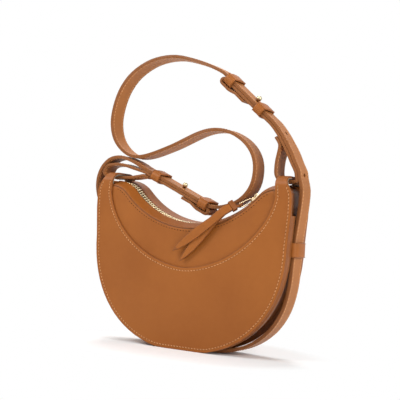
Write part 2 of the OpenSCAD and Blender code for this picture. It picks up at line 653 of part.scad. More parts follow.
// Layers as lines in X and Y: k = 1 is the front leaf, -1 the back leaf
function layer(k) = let (o = tail_pitch / 2 * k) concat(
    [bar + neck_dir * fold_d / 2 + neck_side * k * fold_d / 2],
    [keeper_at - neck_dir * pull_w / 2 + neck_side * o, keeper_at + neck_dir * pull_w / 2 + neck_side * o,
     neck_end - 0.15 * (neck_end - keeper_at) + neck_side * o,
     neck_end + [-2 * pull_t, -tail_pitch * (k + 1) / 2],
     neck_end + [-leaf_l - 2 * pull_t, -tail_pitch * (k + 1) / 2]]);
// Outline of one leaf in X and Z, tilted by a
leaf_shares = [[0.05, 0.35], [0.13, 0.42], [0.2, 0.42], [0.36, 0.42], [0.6, 0.5], [0.78, 0.42],
    [0.9, 0.25], [1, 0.02]];
turn_share = 0.3;
function leaf(a) = let (l = leaf_l + norm(neck_end - bar), turn = [-turn_share * l, 0],
    f = [for (x = [fold_d, -fold_d / 2]) [x, fold_share * leaf_w]],
    s = [for (p = leaf_shares) [-p.x * l, p.y * leaf_w]])
    [for (p = concat([for (q = f) q - [0, pull_rise]], s, [for (q = backwards(s)) [q.x, -q.y]],
        [for (q = backwards(f)) [q.x, -q.y - pull_rise]])) p.x > turn.x ? p : turn + turned(p - turn, a)];
module pull_layer(k) {
    line = smooth(layer(k));
    intersection() {
        translate([0, 0, -leaf_l]) linear_extrude(2 * leaf_l)
            polygon(concat(beside(line, pull_t / 2), backwards(beside(line, -pull_t / 2))));
        translate([bar.x, 0, pull_z]) plate(-2 * depth, depth) polygon(leaf(-k * leaf_spread / 2));
    }
}
module pull_strip() {
    color(leather) on_zip(park) {
        pull_layer(-1);
        pull_layer(1);
        // Fold round the bar of the link
        translate([bar.x, bar.y, link_z - fold_share * leaf_w]) intersection() {
            difference() {
                cylinder(d = fold_d + pull_t, h = 2 * fold_share * leaf_w);
                translate([0, 0, -cut]) cylinder(d = fold_d - pull_t, h = leaf_w);
            }
            rotate([0, 0, atan2(neck_dir.y, neck_dir.x)]) translate([-2 * fold_d + pull_t, -fold_d, 0])
                cube([2 * fold_d, 2 * fold_d, leaf_w]);
        }
    }
}
module pull_keeper() {
    w = 0.84 * leaf_w + 4 * seat;
    t = 2 * pull_t + 4 * seat;
    wall = 0.65 * pull_t;
    color(leather) on_zip(park) translate([keeper_at.x, keeper_at.y, pull_z])
        rotate([0, 0, atan2(neck_dir.y, neck_dir.x)]) rotate([0, 90, 0])
            translate([0, 0, -0.3 * pull_w]) linear_extrude(0.6 * pull_w) difference() {
                square([w + 2 * wall, t + 2 * wall], center = true);
                square([w, t], center = true);
            }
}

// Straps
module hole(j, along) {
    at_join(j, along, 0) cylinder(d = hole_d, h = 2 * strap_t + 2 * cut, center = true);
}
// Index of the point of the long strap nearest to a place
function nearest(p) = let (d = [for (q = long_line) norm(q - p)]) search(min(d), d)[0];
module strap_hole(p) {
    i = nearest(p);
    v = heading(long_line, i, true);
    translate([long_line[i].x, strap_y, long_line[i].y]) rotate([0, atan2(-v.y, v.x), 0])
        cylinder(d = hole_d, h = 2 * strap_t + 2 * cut, center = true);
}
module long_strap() {
    color(leather) difference() {
        plate(strap_front, strap_back) difference() {
            polygon(beside(long_line, -strap_t / 2, true));
            polygon(beside(long_line, strap_t / 2, true));
        }
        hole(join_right, stud_pitch);
        hole(join_left, stud_pitch);
        hole(join_right, stud_pitch + hole_pitch);
        hole(join_left, stud_pitch + hole_pitch);
        strap_hole([right_x, ear_top - strap_t / 2]);
    }
}
module loop_strap(line, j) {
    color(leather) difference() {
        ribbon(line, loop_t, strap_front, strap_back);
        at_join(j, stud_pitch, -lay) cylinder(d = neck_d + 2 * seat, h = loop_t + 2 * lay_gap, center = true);
    }
}
module loop_strap_left() { loop_strap(left_loop, join_left); }
module loop_strap_right() { loop_strap(right_loop, join_right); }

// Closed band of leather round a stack that lies from z0 to z1 across the strap
module keeper_band(z0, z1, l) {
    w = strap_w + 2 * keeper_gap;
    r = keeper_t;
    rotate([0, 90, 0]) translate([0, 0, -l / 2]) linear_extrude(l) difference() {
        polygon(round_box(-z1 - keeper_t, -z0 + keeper_t, w / 2 + keeper_t, r));
        polygon(round_box(-z1, -z0, w / 2, r / 3));
    }
}
function round_box(x0, x1, y, r) = concat(
    arc([x1 - r, y - r], r, 0, 90, 4), arc([x0 + r, y - r], r, 90, 180, 4),
    arc([x0 + r, -y + r], r, 180, 270, 4), arc([x1 - r, -y + r], r, 270, 360, 4));
stack_out = strap_t / 2 + 2 * keeper_gap;
stack_in = -lay - loop_t / 2;
module end_keeper(j) {
    color(leather) at_join(j, 0, 0) keeper_band(stack_in - lay_gap, stack_out, keeper_l);
}
module sliding_keeper(j, along) {
    color(leather) at_join(j, along, 0) keeper_band(stack_in - keeper_gap, stack_out, keeper_l);
}
module end_keeper_left() { end_keeper(join_left); }
module end_keeper_right() { end_keeper(join_right); }
module sliding_keeper_left() { sliding_keeper(join_left, slide_left); }
module sliding_keeper_right() { sliding_keeper(join_right, slide_right); }

// Band over the strap, its two ends turned out and sewn to the channel floor
module gusset_keeper(side, x) {
    z = gusset_keeper_z;
    floor_x = side_x(z + gusset_keeper_l / 2) - channel_d + seat;
    out = x + strap_t / 2 + keeper_gap;
    y0 = strap_front - keeper_gap;
    y1 = strap_back + keeper_gap;
    color(leather) mirror([side < 0 ? 1 : 0, 0, 0])
        translate([0, 0, z - gusset_keeper_l / 2]) linear_extrude(gusset_keeper_l) difference() {
            translate([floor_x, y0 - keeper_t]) square([out + keeper_t - floor_x, y1 - y0 + 2 * keeper_t]);
            translate([floor_x - cut, y0]) square([out - floor_x + cut, y1 - y0]);
        }
}
function strap_x(side) = max([for (p = long_line)
    if (side * p.x > 0 && abs(p.y - gusset_keeper_z) < gusset_keeper_l) abs(p.x)]);
module gusset_keeper_left() { gusset_keeper(-1, strap_x(-1)); }
module gusset_keeper_right() { gusset_keeper(1, strap_x(1)); }

// Stud: ball on a neck, bored for the screw that comes up through the loop strap
neck_in = stack_in + lay_gap;
module stud(j) {
    color(gold) at_join(j, stud_pitch, 0) difference() {
        union() {
            translate([0, 0, neck_in]) cylinder(d = neck_d, h = strap_t / 2 - neck_in + ball_d / 3);
            translate([0, 0, strap_t / 2 + lay_gap + ball_d / 2]) sphere(d = ball_d, $fn = 40);
        }
        translate([0, 0, neck_in - cut]) cylinder(d = screw_d + 2 * seat, h = cut + loop_t + strap_t);
    }
}
module stud_screw(j) {
    color(gold) at_join(j, stud_pitch, 0) {
        translate([0, 0, stack_in - lay_gap - screw_head_t]) cylinder(d = screw_head_d, h = screw_head_t);
        translate([0, 0, stack_in - lay_gap - screw_head_t / 2])
            cylinder(d = screw_d, h = screw_head_t / 2 + loop_t + strap_t / 2);
    }
}
module stud_left() { stud(join_left); }
module stud_right() { stud(join_right); }
module stud_screw_left() { stud_screw(join_left); }
module stud_screw_right() { stud_screw(join_right); }

front_upper_panel();
front_crescent_panel();
back_panel();
gusset();
ear_lining_left();
ear_lining_right();
front_stiffener();
back_stiffener();
gusset_stiffener();
lining();
zip_strip_front();
zip_strip_back();
zip_tape_front();
zip_tape_back();
zip_teeth_front();
zip_teeth_back();
zip_stop_left();
zip_stop_right();
zip_slider();
pull_ring();
pull_link();
pull_strip();
pull_keeper();
gusset_keeper_left();
gusset_keeper_right();
long_strap();
loop_strap_left();
loop_strap_right();
end_keeper_left();
end_keeper_right();
sliding_keeper_left();
sliding_keeper_right();
stud_left();
stud_right();
stud_screw_left();
stud_screw_right();
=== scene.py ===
import json
import math

import bmesh
import bpy
from mathutils import Matrix, Vector, noise
from mathutils.kdtree import KDTree

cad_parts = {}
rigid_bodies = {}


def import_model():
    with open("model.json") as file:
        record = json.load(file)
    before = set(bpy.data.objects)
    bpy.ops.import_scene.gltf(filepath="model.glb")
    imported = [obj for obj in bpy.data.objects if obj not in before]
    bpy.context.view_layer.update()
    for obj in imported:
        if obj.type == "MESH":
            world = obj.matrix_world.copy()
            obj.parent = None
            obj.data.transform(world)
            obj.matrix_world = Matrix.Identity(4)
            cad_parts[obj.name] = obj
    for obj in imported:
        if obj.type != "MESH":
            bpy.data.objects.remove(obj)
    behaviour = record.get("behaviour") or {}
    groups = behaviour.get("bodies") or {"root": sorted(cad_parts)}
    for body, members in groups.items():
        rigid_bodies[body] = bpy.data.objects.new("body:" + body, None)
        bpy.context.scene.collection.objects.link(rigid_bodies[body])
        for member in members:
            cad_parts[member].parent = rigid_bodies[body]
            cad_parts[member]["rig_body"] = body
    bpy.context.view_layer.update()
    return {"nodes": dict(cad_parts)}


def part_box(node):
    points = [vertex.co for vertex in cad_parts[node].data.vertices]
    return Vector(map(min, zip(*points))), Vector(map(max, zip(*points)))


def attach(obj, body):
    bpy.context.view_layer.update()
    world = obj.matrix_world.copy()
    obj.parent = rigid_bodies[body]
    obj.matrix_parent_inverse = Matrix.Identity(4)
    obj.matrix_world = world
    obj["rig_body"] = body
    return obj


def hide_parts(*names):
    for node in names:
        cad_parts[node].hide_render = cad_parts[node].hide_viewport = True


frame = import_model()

bl_info = {
    "name": "Saddle handbag",
    "version": (1, 0, 0),
    "blender": (4, 5, 0),
    "location": "View3D > Sidebar > Handbag",
    "description": "Leather, thread, hardware and studio for a half-moon handbag",
    "category": "Object",
}

MM = 0.001
X, Y, Z = range(3)
SIDES = ("left", "right")
STRAPS = ("long_strap", "loop_strap_left", "loop_strap_right")

# Merging of the solids' triangles
WELD = 0.01 * MM
CUT_WELD = WELD / 10
FLAT_ANGLE = math.radians(0.3)

# Corners that are eased, edges that stay sharp, and how straight a face looks along an axis
CORNER_ANGLE = math.radians(38)
SHARP_ANGLE = math.radians(50)
FACING = 0.9
SIDEWAYS = 0.1

# Distance from the edges, which the leather's wear follows
RIM_STEP = 0.5 * MM
NO_RIM = 1.0

# The body of the bag, as its solids have it
HALF_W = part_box("back_panel")[1].x
LOW_Z = 103 * MM
OUTLINE_POWER = 2.22
ZIP_R = 96 * MM
ZIP_CZ = 214 * MM
ZIP_ARC_SHARE = 0.68
ZIP_SHOULDER = 150 * MM
EAR_IN = 88 * MM
EAR_FOOT = 149 * MM
EAR_FOLD = 169 * MM

# Swelling of the front and the back: shares of the way in, and depths below the zip
SWELL_SHARES = (0.01, 0.5)
SWELL_DEPTHS = (2 * MM, 38 * MM)
RIPPLE_SIZE = 38 * MM
RIPPLE_SHARE = 0.25

# Sinking and narrowing of the ears
EAR_SINK = 3.1 * MM
EAR_MARGIN = 2 * MM
EAR_NARROW_SHARE = 0.33

# Lean and unevenness of the straps
STRAP_FRONT_Y, STRAP_BACK_Y = (corner.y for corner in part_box("long_strap"))
LEAN = 3 * MM
LEAN_START_Z = (152 * MM, 170 * MM)
LEAN_END_Z = (176 * MM, 202 * MM)
LEAN_X = (70 * MM, 90 * MM)
SLACK = 0.25 * MM
SLACK_SIZE = 30 * MM
SLACK_SHIFTS = (Vector((7, 0, 0)), Vector((0, 9, 0)))

# Teeth of the zip, and the tail that hangs in front of the body
TOOTH_WIDER_SHARE = 0.35
TOOTH_RISE = 0.4 * MM
TAIL_OFF = (16 * MM, 19 * MM)
TAIL_WAVE = 14 * MM
TAIL_RISE = 0.5 * MM

# Keepers: how square a band is, and the share of it that keeps its shape
BAND_POWER = 2.8
BAND_CORE_SHARE = 0.88

# Radii that the edges are eased by
PANEL_EASE = 0.7 * MM
SEAM_EASE = 0.5 * MM
STRIP_EASE = 0.4 * MM
STRAP_EASE = 0.8 * MM
KEEPER_EASE = 0.95 * MM
TAIL_EASE = 0.3 * MM
TAIL_KEEPER_EASE = 0.35 * MM
SUEDE_EASE = 0.3 * MM
LINING_EASE = 0.2 * MM
BOARD_EASE = 0.15 * MM
TAPE_EASE = 0.15 * MM
TOOTH_EASE = 0.35 * MM
SLIDER_EASE = 0.25 * MM
SCREW_EASE = 0.15 * MM

# Cells that the leather is cut into, so that it can bend
PANEL_CELL = 4 * MM
GUSSET_CELL = 5 * MM
EAR_CELL = 3 * MM
STRIP_CELL = 2.5 * MM
TAIL_CELL = 3 * MM
STRAP_CELL = 3 * MM
KEEPER_CELL = 1.2 * MM

# Stitching: places of the rows, and the form of one stitch
SEAM_INSET = 3 * MM
UPPER_INSET = 2.2 * MM
UPPER_REACH = 84 * MM
UPPER_DROP = 15 * MM
STRAP_INSET = 2 * MM
# How deep the dark dots of painted shade sit in the needle holes
HOLE_SINK = 0.1 * MM
STITCH_SLANT = math.radians(8)
STITCH_DEPTH_SHARE = 0.8

# The camera, fitted to the outline of the bag, and the lamps: place, size, share of the key
CAMERA_PLACE = (0.42283, -0.70065, 0.11059)
CAMERA_RIGHT = (0.8568, 0.5121, 0.0603)
CAMERA_UP = (-0.0321, -0.0637, 0.9975)
FILM_WIDTH = 36
NEAREST = 0.01
BAG_MIDDLE = Vector((0, 0, 0.13))
LAMPS = {"key_lamp": ((-0.75, -0.95, 1.15), 0.9, 1),
         "right_lamp": ((1.3, -0.5, 0.7), 0.9, 1),
         "top_lamp": ((-0.25, 0.35, 1.25), 0.55, 0.55)}

# The floor: its greys, and the oval round the bag outside which it is white to the camera
WHITE = (1, 1, 1, 1)
FLOOR_GREY = (0.9, 0.9, 0.9, 1)
OVAL_SHARE = 0.5
OVAL_SQUARES = (0.0058, 0.0105)


# Settings

class LeatherSettings(bpy.types.PropertyGroup):
    tan: bpy.props.FloatVectorProperty(
        name="Tan", description="Main colour of the smooth leather",
        subtype="COLOR", size=3, min=0, max=1, default=(0.318, 0.1, 0.0165))
    shade: bpy.props.FloatVectorProperty(
        name="Shade", description="Darker colour that the tan drifts to",
        subtype="COLOR", size=3, min=0, max=1, default=(0.235, 0.066, 0.0095))
    edge: bpy.props.FloatVectorProperty(
        name="Edge paint", description="Colour of the painted cut edges",
        subtype="COLOR", size=3, min=0, max=1, default=(0.13, 0.045, 0.018))
    # Painted sheen: the straps' tan is paler and greyer than the body's to stand in for the sheen
    # that they catch
    strap: bpy.props.FloatVectorProperty(
        name="Strap", description="Paler tan of the straps",
        subtype="COLOR", size=3, min=0, max=1, default=(0.375, 0.137, 0.036))
    suede: bpy.props.FloatVectorProperty(
        name="Suede", description="Colour of the lining inside the ears",
        subtype="COLOR", size=3, min=0, max=1, default=(0.25, 0.19, 0.13))
    grain: bpy.props.FloatProperty(
        name="Grain", description="Width of one pebble of the grain",
        unit="LENGTH", min=0.0002, max=0.005, default=0.0008)
    roughness: bpy.props.FloatProperty(
        name="Roughness", description="How dull the leather is",
        subtype="FACTOR", min=0, max=1, default=0.46)
    fullness: bpy.props.FloatProperty(
        name="Fullness", description="How far the front and back swell in the middle",
        unit="LENGTH", min=0, max=0.004, default=0.0016)


class ThreadSettings(bpy.types.PropertyGroup):
    colour: bpy.props.FloatVectorProperty(
        name="Thread", description="Colour of the sewing thread",
        subtype="COLOR", size=3, min=0, max=1, default=(0.62, 0.31, 0.13))
    pitch: bpy.props.FloatProperty(
        name="Pitch", description="Distance from one stitch to the next",
        unit="LENGTH", min=0.002, max=0.006, default=0.0032)
    # Painted shade: the dark colour of the dots in the needle holes, which stands in for the shade
    # inside them; the dark thread beside the zip uses it too
    hole: bpy.props.FloatVectorProperty(
        name="Needle holes", description="Colour of the holes and of the dark thread",
        subtype="COLOR", size=3, min=0, max=1, default=(0.05, 0.016, 0.006))
    width: bpy.props.FloatProperty(
        name="Thickness", description="Thickness of the thread",
        unit="LENGTH", min=0.0002, max=0.0015, default=0.00075)


class HardwareSettings(bpy.types.PropertyGroup):
    gold: bpy.props.FloatVectorProperty(
        name="Gold", description="Colour of the metal",
        subtype="COLOR", size=3, min=0, max=1, default=(0.84, 0.69, 0.44))
    cloth: bpy.props.FloatVectorProperty(
        name="Tape", description="Colour of the zip tape and the lining",
        subtype="COLOR", size=3, min=0, max=1, default=(0.27, 0.13, 0.055))
    board: bpy.props.FloatVectorProperty(
        name="Board", description="Colour of the stiffening boards",
        subtype="COLOR", size=3, min=0, max=1, default=(0.48, 0.4, 0.26))


class StageSettings(bpy.types.PropertyGroup):
    floor: bpy.props.FloatProperty(
        name="Floor", description="Width of the floor",
        unit="LENGTH", min=1, max=100, default=60)
    glow: bpy.props.FloatProperty(
        name="Floor glow", description="How white the camera sees the floor near the bag",
        subtype="FACTOR", min=0, max=1, default=0)
    ambient: bpy.props.FloatProperty(
        name="Ambient", description="Strength of the light from all round",
        min=0, max=2, default=0.2)
    key: bpy.props.FloatProperty(
        name="Key light", description="Power of the front left lamp, which the others follow",
        unit="POWER", min=0, max=100, default=17.8)
    lens: bpy.props.FloatProperty(
        name="Lens", description="Focal length of the camera in millimetres",
        min=20, max=200, default=76.74)


# Shader maths

class Socket:
    """A shader socket that takes part in Python arithmetic."""

    def __init__(self, sheet, socket):
        self.sheet = sheet
        self.socket = socket

    def _math(self, operation, *values):
        return self.sheet.add("ShaderNodeMath", {"operation": operation}, *values)

    def __add__(self, other):
        return self._math("ADD", self, other)

    def __radd__(self, other):
        return self._math("ADD", other, self)

    def __sub__(self, other):
        return self._math("SUBTRACT", self, other)

    def __rsub__(self, other):
        return self._math("SUBTRACT", other, self)

    def __mul__(self, other):
        return self._math("MULTIPLY", self, other)

    def __rmul__(self, other):
        return self._math("MULTIPLY", other, self)

    def __abs__(self):
        return self._math("ABSOLUTE", self)

    def wave(self):
        return self._math("SINE", self)

    def step(self, low, high):
        """0 below low, 1 above high and smooth between them."""
        return self.sheet.add("ShaderNodeMapRange", {"interpolation_type": "SMOOTHSTEP"},
                              self, low, high, 0.0, 1.0)


def shaded(colour, share):
    """The colour at a share of its brightness."""
    return tuple(share * c for c in colour)


class Sheet:
    """The node tree of one material, or of the world."""

    # A Mix node's sockets share their names, so its colours go by their places
    MIX_COLOURS = 6
    MIX_RESULT = 2

    def __init__(self, name, kind="materials"):
        self.owner = getattr(bpy.data, kind).new(name)
        self.owner.use_nodes = True
        self.tree = self.owner.node_tree
        self.tree.nodes.clear()

    def add(self, kind, settings=None, *values, out=0, **named):
        """Adds a node, its settings first and then its sockets, and returns one output."""
        node = self.tree.nodes.new(kind)
        for key, value in (settings or {}).items():
            setattr(node, key, value)
        for key, value in list(enumerate(values)) + list(named.items()):
            socket = node.inputs[key if isinstance(key, int) else key.replace("_", " ")]
            if isinstance(value, Socket):
                self.tree.links.new(value.socket, socket)
            elif value is not None:
                socket.default_value = value
        return Socket(self, node.outputs[out]) if node.outputs else None

    def place(self):
        """Object coordinates of the surface."""
        return self.add("ShaderNodeTexCoord", out="Object")

    def facing(self):
        """Normal of the surface in the object's own frame."""
        return self.add("ShaderNodeTexCoord", out="Normal")

    def part(self, vector, axis):
        """One part of a vector, by the name of its axis."""
        return self.add("ShaderNodeSeparateXYZ", None, vector, out=axis)

    def near_edge(self):
        """Distance to the nearest cut or folded edge, kept on every dressed piece."""
        return self.add("ShaderNodeAttribute", {"attribute_name": "rim"}, out="Fac")

    def seen(self):
        """1 for what the camera sees, itself or in metal, and 0 for other light."""
        camera, glossy = (self.add("ShaderNodeLightPath", out=ray)
                          for ray in ("Is Camera Ray", "Is Glossy Ray"))
        return camera + glossy

    def cloud(self, size, detail=2.0, rough=0.5):
        """Soft noise with blobs of about this size."""
        return self.add("ShaderNodeTexNoise", None, Vector=self.place(), Scale=1 / size,
                        Detail=detail, Roughness=rough)

    def pebbles(self, size):
        """Distance to the middle of the nearest cell of this size."""
        return self.add("ShaderNodeTexVoronoi", {"feature": "SMOOTH_F1"},
                        Vector=self.place(), Scale=1 / size, Smoothness=0.35)

    def mix(self, factor, a, b):
        """Colour a where the factor is 0, b where it is 1."""
        ends = [c if isinstance(c, Socket) else (*c, 1) for c in (a, b)]
        unused = [None] * (self.MIX_COLOURS - 1)
        return self.add("ShaderNodeMix", {"data_type": "RGBA"}, factor, *unused, *ends,
                        out=self.MIX_RESULT)

    def toned(self, mask, colour, share):
        """The colour, at a share of its brightness where the mask is 1."""
        return self.mix(mask, colour, shaded(colour, share))

    def bump(self, height, depth, strength):
        return self.add("ShaderNodeBump", None, Height=height, Distance=depth, Strength=strength)

    def finish(self, **sockets):
        """Gives the material its shader."""
        shader = self.add("ShaderNodeBsdfPrincipled", None, **sockets)
        self.add("ShaderNodeOutputMaterial", None, shader)
        return self.owner


# Finishes

def smooth_leather(name, tan, shade, paint_share=0.0, gloss=0.2):
    """Drifting tan, rubbed pale near the edges, with painted edges and a fine grain."""
    look = bpy.context.scene.handbag_leather
    sheet = Sheet(name)
    drift = sheet.cloud(60 * MM, detail=3.0).step(0.3, 0.72)
    mottle = sheet.cloud(5 * MM, detail=4.0)
    colour = sheet.mix(drift * 0.45 + (mottle - 0.5) * 0.35 + 0.08, tan, shade)
    rim = sheet.near_edge()
    rubbed = (1 - rim.step(1.2 * MM, 5 * MM)) * mottle.step(0.35, 0.75)
    colour = sheet.mix(rubbed * 0.35, colour, shaded(tan, 1.25))
    paint = (1 - rim.step(0.3 * MM, 0.75 * MM)) * 0.45
    colour = sheet.mix(paint, colour, look.edge)
    if paint_share:
        cut_side = abs(sheet.part(sheet.facing(), "Y")).step(0.75, 0.95)
        colour = sheet.mix(cut_side * paint_share, colour, look.edge)
    pores = sheet.pebbles(look.grain)
    creases = sheet.cloud(2.6 * look.grain, detail=3.0, rough=0.6)
    return sheet.finish(
        Base_Color=colour,
        Roughness=look.roughness + (mottle - 0.5) * 0.16 - rubbed * 0.06 - paint * 0.08,
        Coat_Weight=0.03, Coat_Roughness=0.3, Specular_IOR_Level=gloss,
        Normal=sheet.bump(pores * 0.7 + creases * 0.8, depth=0.05 * MM, strength=0.8))


def tan_leather():
    look = bpy.context.scene.handbag_leather
    return smooth_leather("tan_leather", look.tan, look.shade)


# Painted sheen: the paler strap tan, with less specular, stands in for the sheen on the straps
def strap_leather_with_painted_sheen():
    look = bpy.context.scene.handbag_leather
    return smooth_leather("strap_leather_with_painted_sheen", look.strap, shaded(look.strap, 0.72),
                          paint_share=0.2, gloss=0.14)


def ear_suede():
    look = bpy.context.scene.handbag_leather
    sheet = Sheet("suede")
    nap = sheet.cloud(3 * MM, detail=4.0, rough=0.7)
    fibre = sheet.cloud(0.35 * MM)
    return sheet.finish(
        Base_Color=sheet.toned(nap.step(0.3, 0.7), look.suede, 0.7),
        Roughness=0.88 + (nap - 0.5) * 0.12, Sheen_Weight=0.3, Specular_IOR_Level=0.2,
        Normal=sheet.bump(fibre, depth=0.12 * MM, strength=0.8))


def sewing_thread():
    look = bpy.context.scene.handbag_thread
    sheet = Sheet("waxed_thread")
    strand = sheet.cloud(0.25 * MM, detail=1.0)
    worn = sheet.cloud(9 * MM)
    return sheet.finish(
        Base_Color=sheet.toned(worn.step(0.35, 0.7), look.colour, 0.75),
        Roughness=0.62 + (strand - 0.5) * 0.2, Specular_IOR_Level=0.35,
        Normal=sheet.bump(strand, depth=0.08 * MM, strength=0.8))


# Painted shade of the needle holes, which the dark thread beside the zip also uses
def dark_thread_and_needle_hole_shade():
    look = bpy.context.scene.handbag_thread
    sheet = Sheet("dark_thread_and_needle_hole_shade")
    worn = sheet.cloud(9 * MM)
    return sheet.finish(
        Base_Color=sheet.toned(worn.step(0.3, 0.7), look.hole, 1.6),
        Roughness=0.8 + (worn - 0.5) * 0.2, Specular_IOR_Level=0.1)


def gold_metal(name, share):
    """Hazy gold with fine hairlines, at a share of the metal's brightness."""
    gold = shaded(bpy.context.scene.handbag_hardware.gold, share)
    sheet = Sheet(name)
    haze = sheet.cloud(2.5 * MM, detail=3.0)
    hairline = sheet.cloud(0.3 * MM, rough=0.7)
    return sheet.finish(
        Base_Color=sheet.toned(haze.step(0.4, 0.8), gold, 0.82),
        Metallic=1.0, Roughness=0.2 + haze * 0.16,
        Normal=sheet.bump(hairline, depth=0.01 * MM, strength=0.5))


def light_gold():
    return gold_metal("light_gold", 1.0)


def stud_gold():
    return gold_metal("stud_gold", 0.62)


def woven_cloth():
    look = bpy.context.scene.handbag_hardware
    sheet = Sheet("woven_cloth")
    x, y, z = (sheet.part(sheet.place(), axis) for axis in "XYZ")
    thread = 2 * math.pi / (0.7 * MM)
    warp = (x * thread).wave() * ((y + z) * thread).wave()
    shade = sheet.cloud(4 * MM, detail=3.0)
    return sheet.finish(
        Base_Color=sheet.toned(warp.step(-0.6, 0.6) * 0.6 + shade * 0.3, look.cloth, 0.5),
        Roughness=0.8 + (shade - 0.5) * 0.15, Sheen_Weight=0.2, Specular_IOR_Level=0.25,
        Normal=sheet.bump(warp, depth=0.1 * MM, strength=0.7))


def fibre_board():
    look = bpy.context.scene.handbag_hardware
    sheet = Sheet("fibre_board")
    fibres = sheet.cloud(1.2 * MM, detail=5.0, rough=0.7)
    return sheet.finish(
        Base_Color=sheet.toned(fibres.step(0.3, 0.7), look.board, 0.7),
        Roughness=0.82 + (fibres - 0.5) * 0.2,
        Normal=sheet.bump(fibres, depth=0.1 * MM, strength=0.5))


FINISHES = {"leather": tan_leather, "strap": strap_leather_with_painted_sheen, "suede": ear_suede,
            "thread": sewing_thread, "hole": dark_thread_and_needle_hole_shade, "gold": light_gold,
            "stud": stud_gold, "cloth": woven_cloth, "board": fibre_board}
made_finishes = {}


def finish_of(name):
    if name not in made_finishes:
        made_finishes[name] = FINISHES[name]()
    return made_finishes[name]


# Shapes

def soft_step(value, low, high):
    """0 below low, 1 above high and smooth between them."""
    share = min(1.0, max(0.0, (value - low) / (high - low)))
    return share * share * (3 - 2 * share)


def zip_height(x):
    """Height of the zip line over a place across the bag."""
    x = abs(x)
    return ZIP_CZ - math.sqrt(ZIP_R ** 2 - x * x) if x < ZIP_ARC_SHARE * ZIP_R else ZIP_SHOULDER


def fullness(co):
    """How far the front and the back swell at a place, in metres."""
    most = bpy.context.scene.handbag_leather.fullness
    across = abs(co.x) / HALF_W
    down = max(LOW_Z - co.z, 0) / LOW_Z
    inside = 1 - (across ** OUTLINE_POWER + down ** OUTLINE_POWER) ** (1 / OUTLINE_POWER)
    shape = soft_step(inside, *SWELL_SHARES) * soft_step(zip_height(co.x) - co.z, *SWELL_DEPTHS)
    return most * shape * (1 + RIPPLE_SHARE * noise.noise(co / RIPPLE_SIZE))


def swell_out(co):
    """The front goes forward and the back goes backward."""
    outward = -1 if co.y < 0 else 1
    return Vector((0, outward * fullness(co), 0))


def ear_ease(co):
    """The ears sink and narrow a little towards their folds."""
    share = soft_step(co.z, EAR_FOOT, EAR_FOLD)
    beyond = max(abs(co.x) - EAR_IN, 0) * share
    return Vector((math.copysign(EAR_NARROW_SHARE * beyond, -co.x), 0,
                   -EAR_SINK * share if abs(co.x) > EAR_IN - EAR_MARGIN else 0))


def front_ease(co):
    return swell_out(co) + ear_ease(co)


def proud_teeth(co):
    """The teeth stand a little wider and higher than their blocks."""
    return Vector((0, TOOTH_WIDER_SHARE * co.y, TOOTH_RISE))


def tail_ease(co):
    """The tail of the zip pull lies on the swollen front and waves a little."""
    over = soft_step(-co.y, *TAIL_OFF)
    wave = 0.5 - 0.5 * math.cos((co.x + co.z) / TAIL_WAVE)
    return Vector((0, -over * (fullness(co) + TAIL_RISE * wave), 0))


def slack(co):
    """Small unevenness of a strap that has been carried."""
    place = Vector((co.x, 0, co.z)) / SLACK_SIZE
    x, z = (SLACK * noise.noise(place + shift) for shift in SLACK_SHIFTS)
    return Vector((x, 0, z))


def strap_ease(co):
    """The straps lean in at the right ear and are a little uneven."""
    lean = soft_step(co.z, *LEAN_START_Z) * (1 - soft_step(co.z, *LEAN_END_Z))
    return slack(co) - Vector((LEAN * lean * soft_step(co.x, *LEAN_X), 0, 0))


def solid_of(node):
    """Merged copy of the mesh of a CAD node."""
    bm = bmesh.new()
    bm.from_mesh(frame["nodes"][node].data)
    bmesh.ops.remove_doubles(bm, verts=bm.verts, dist=WELD)
    bmesh.ops.dissolve_limit(bm, angle_limit=FLAT_ANGLE, verts=bm.verts, edges=bm.edges)
    return bm


def corners_of(bm):
    return [e for e in bm.edges if len(e.link_faces) == 2 and e.calc_face_angle(0) > CORNER_ANGLE]


def rim_of(edges):
    """Function that gives the distance of a place to the nearest of the edges."""
    places = []
    for edge in edges:
        a, b = (v.co for v in edge.verts)
        count = math.ceil(edge.calc_length() / RIM_STEP)
        places += [a.lerp(b, (k + 0.5) / count) for k in range(count)]
    tree = KDTree(len(places))
    for i, co in enumerate(places):
        tree.insert(co, i)
    tree.balance()
    return lambda co: tree.find(co)[2] if places else NO_RIM


def slice_evenly(bm, axis, step):
    """Cuts the mesh across one axis at even steps, so that it can bend."""
    low = min(v.co[axis] for v in bm.verts)
    high = max(v.co[axis] for v in bm.verts)
    normal = Vector([float(k == axis) for k in range(3)])
    at = math.ceil(low / step) * step
    while at < high:
        if at > low:
            bmesh.ops.bisect_plane(bm, geom=bm.verts[:] + bm.edges[:] + bm.faces[:],
                                   dist=CUT_WELD, plane_co=normal * at, plane_no=normal)
        at += step


def put(bm, name, finish, body, node=None):
    """Makes a piece of a bmesh, gives it its finish and lets it ride."""
    mesh = bpy.data.meshes.new(name)
    bm.to_mesh(mesh)
    bm.free()
    mesh.shade_smooth()
    mesh.set_sharp_from_angle(angle=SHARP_ANGLE)
    mesh.materials.append(finish_of(finish))
    piece = bpy.data.objects.new(name, mesh)
    bpy.context.scene.collection.objects.link(piece)
    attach(piece, body)
    if node:
        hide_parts(node)


def dress(node, finish, ease, segments=2, cells=(), shape=None):
    """Replaces a CAD node by a piece with eased edges that is cut fine enough to bend."""
    bm = solid_of(node)
    edges = corners_of(bm)
    rim = rim_of(edges)
    if edges and ease:
        bmesh.ops.bevel(bm, geom=edges, offset=ease, offset_type="OFFSET", segments=segments,
                        profile=0.5, affect="EDGES", clamp_overlap=True, material=-1)
    for axis, step in cells:
        slice_evenly(bm, axis, step)
    near = bm.verts.layers.float.new("rim")
    for v in bm.verts:
        v[near] = rim(v.co)
    if shape:
        for v, co in [(v, v.co + shape(v.co)) for v in bm.verts]:
            v.co = co
    put(bm, node + "_piece", finish, frame["nodes"][node]["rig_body"], node)


